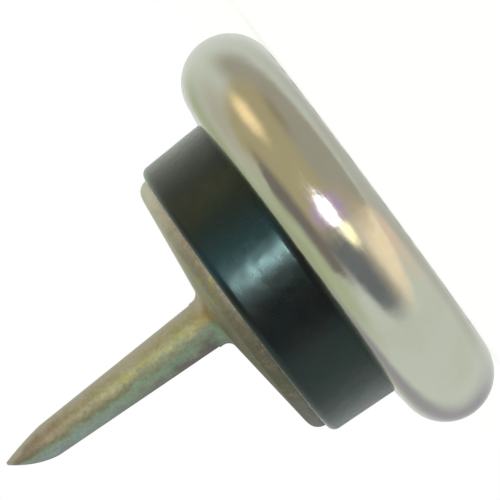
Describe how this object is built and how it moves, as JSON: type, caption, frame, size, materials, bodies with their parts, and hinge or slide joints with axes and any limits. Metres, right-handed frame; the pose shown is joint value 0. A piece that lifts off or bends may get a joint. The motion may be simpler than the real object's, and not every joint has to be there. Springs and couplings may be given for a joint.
{
  "type": "nail-on furniture glide",
  "caption": "Round furniture glide: a nickel-plated steel cap crimped round a black rubber puck, with a dished top plate and a tapered pointed nail to drive into a leg.",
  "frame": {"origin": "centre of the flat sliding face, the lowest point of the part", "axes": "+Z along the nail, from the sliding face to the tip, up as the glide stands and as it is driven into a leg; +X is the side to which the nail's point bends"},
  "size_m": [0.0286, 0.0286, 0.0284],
  "materials": {
    "nickel_cap": "bright nickel plate",
    "black_rubber": "smooth moulded, semi-gloss",
    "plated_plate": "yellow passivated zinc plate",
    "plated_nail": "yellow passivated zinc plate"
  },
  "bodies": {
    "root": {"base_cap": "nickel_cap", "rubber_puck": "black_rubber", "top_plate": "plated_plate", "nail": "plated_nail"}
  },
  "joints": []
}
